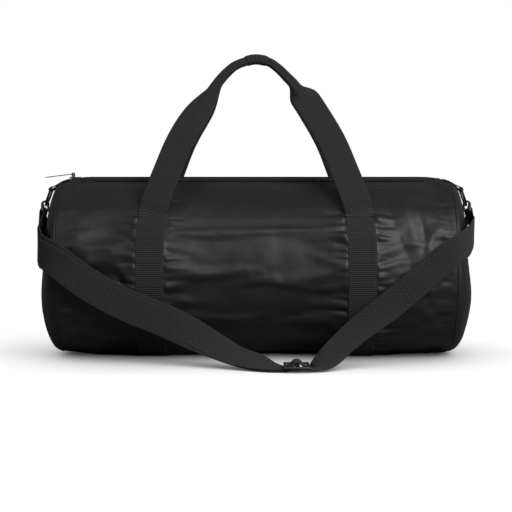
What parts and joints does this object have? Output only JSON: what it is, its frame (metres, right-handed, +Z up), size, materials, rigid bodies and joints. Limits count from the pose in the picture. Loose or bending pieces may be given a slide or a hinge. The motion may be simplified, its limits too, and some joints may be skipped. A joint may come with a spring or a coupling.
{
  "type": "duffel bag",
  "caption": "Barrel duffel bag in satin nylon with a top zipper, two webbing carry handles sewn round the barrel and a detachable adjustable shoulder strap on snap hooks",
  "frame": {"origin": "the middle of the flat base, on the floor", "axes": "+X along the barrel, -Y the front where the shoulder strap lies, +Z up"},
  "size_m": [0.6024, 0.325, 0.4216],
  "materials": {
    "shell_fabric": "satin nylon, fine plain weave, slightly puckered at the seams",
    "webbing": "ribbed polypropylene webbing, matt",
    "strap_webbing": "ribbed polypropylene webbing with a diagonal weave, matt",
    "binding_tape": "woven binding tape, matt",
    "zipper_tape": "woven zipper tape, matt",
    "zipper_coil": "black nylon coil, slightly glossy",
    "dark_metal": "black enamelled zinc, edges worn to bare metal",
    "black_plastic": "moulded acetal, fine satin texture"
  },
  "bodies": {
    "root": {"barrel_panel": "shell_fabric", "end_panel_left": "shell_fabric", "end_panel_right": "shell_fabric", "seam_binding_left": "binding_tape", "seam_binding_right": "binding_tape", "zipper_tape_front": "zipper_tape", "zipper_tape_rear": "zipper_tape", "zipper_coil_front": "zipper_coil", "zipper_coil_rear": "zipper_coil", "zipper_stops": "dark_metal", "handle_band_left": "webbing", "handle_band_right": "webbing", "dring_tab_left": "webbing", "dring_tab_right": "webbing"},
    "front_handle": {"handle_front": "webbing"},
    "rear_handle": {"handle_rear": "webbing"},
    "slider": {"zipper_slider": "dark_metal"},
    "puller": {"zipper_puller": "dark_metal"},
    "strap": {"shoulder_strap": "strap_webbing", "strap_adjuster": "black_plastic", "dring_tab_loop_left": "webbing", "dring_tab_loop_right": "webbing", "hook_base_left": "dark_metal", "hook_base_right": "dark_metal"},
    "dring_left_body": {"dring_left": "dark_metal"},
    "hook_left": {"snap_hook_left": "dark_metal"},
    "gate_left": {"hook_gate_left": "dark_metal"},
    "dring_right_body": {"dring_right": "dark_metal"},
    "hook_right": {"snap_hook_right": "dark_metal"},
    "gate_right": {"hook_gate_right": "dark_metal"}
  },
  "joints": [
    {"name": "front_handle_fold", "type": "hinge", "parent": "root", "child": "front_handle", "pos_m": [0, -0.09724, 0.204], "axis": [1, 0, 0], "range_deg": [0, 150]},
    {"name": "rear_handle_fold", "type": "hinge", "parent": "root", "child": "rear_handle", "pos_m": [0, 0.09724, 0.204], "axis": [-1, 0, 0], "range_deg": [0, 150]},
    {"name": "zipper_slide", "type": "slide", "parent": "root", "child": "slider", "axis": [1, 0, 0], "range_m": [0, 0.492]},
    {"name": "puller_flip", "type": "hinge", "parent": "slider", "child": "puller", "pos_m": [-0.256, 0, 0.2525], "axis": [0, 1, 0], "range_deg": [0, 190]},
    {"name": "strap_swing", "type": "hinge", "parent": "root", "child": "strap", "pos_m": [0, 0, 0.245], "axis": [-1, 0, 0], "range_deg": [0, 120]},
    {"name": "dring_tilt_left", "type": "hinge", "parent": "strap", "child": "dring_left_body", "pos_m": [-0.2866, 0, 0.231], "axis": [0, 1, 0], "range_deg": [0, 5]},
    {"name": "hook_swivel_left", "type": "hinge", "parent": "strap", "child": "hook_left", "pos_m": [-0.295, -0.01721, 0.19642], "axis": [0, -0.5736, -0.8192], "range_deg": [-10, 10]},
    {"name": "gate_open_left", "type": "hinge", "parent": "hook_left", "child": "gate_left", "pos_m": [-0.2995, -0.01193, 0.20396], "axis": [0, 0.8192, -0.5736], "range_deg": [0, 14], "stiffness_Nm_per_rad": 0.002},
    {"name": "dring_tilt_right", "type": "hinge", "parent": "strap", "child": "dring_right_body", "pos_m": [0.2866, 0, 0.231], "axis": [0, -1, 0], "range_deg": [0, 5]},
    {"name": "hook_swivel_right", "type": "hinge", "parent": "strap", "child": "hook_right", "pos_m": [0.295, -0.01721, 0.19642], "axis": [0, -0.5736, -0.8192], "range_deg": [-10, 10]},
    {"name": "gate_open_right", "type": "hinge", "parent": "hook_right", "child": "gate_right", "pos_m": [0.2995, -0.01193, 0.20396], "axis": [0, -0.8192, 0.5736], "range_deg": [0, 14], "stiffness_Nm_per_rad": 0.002}
  ]
}
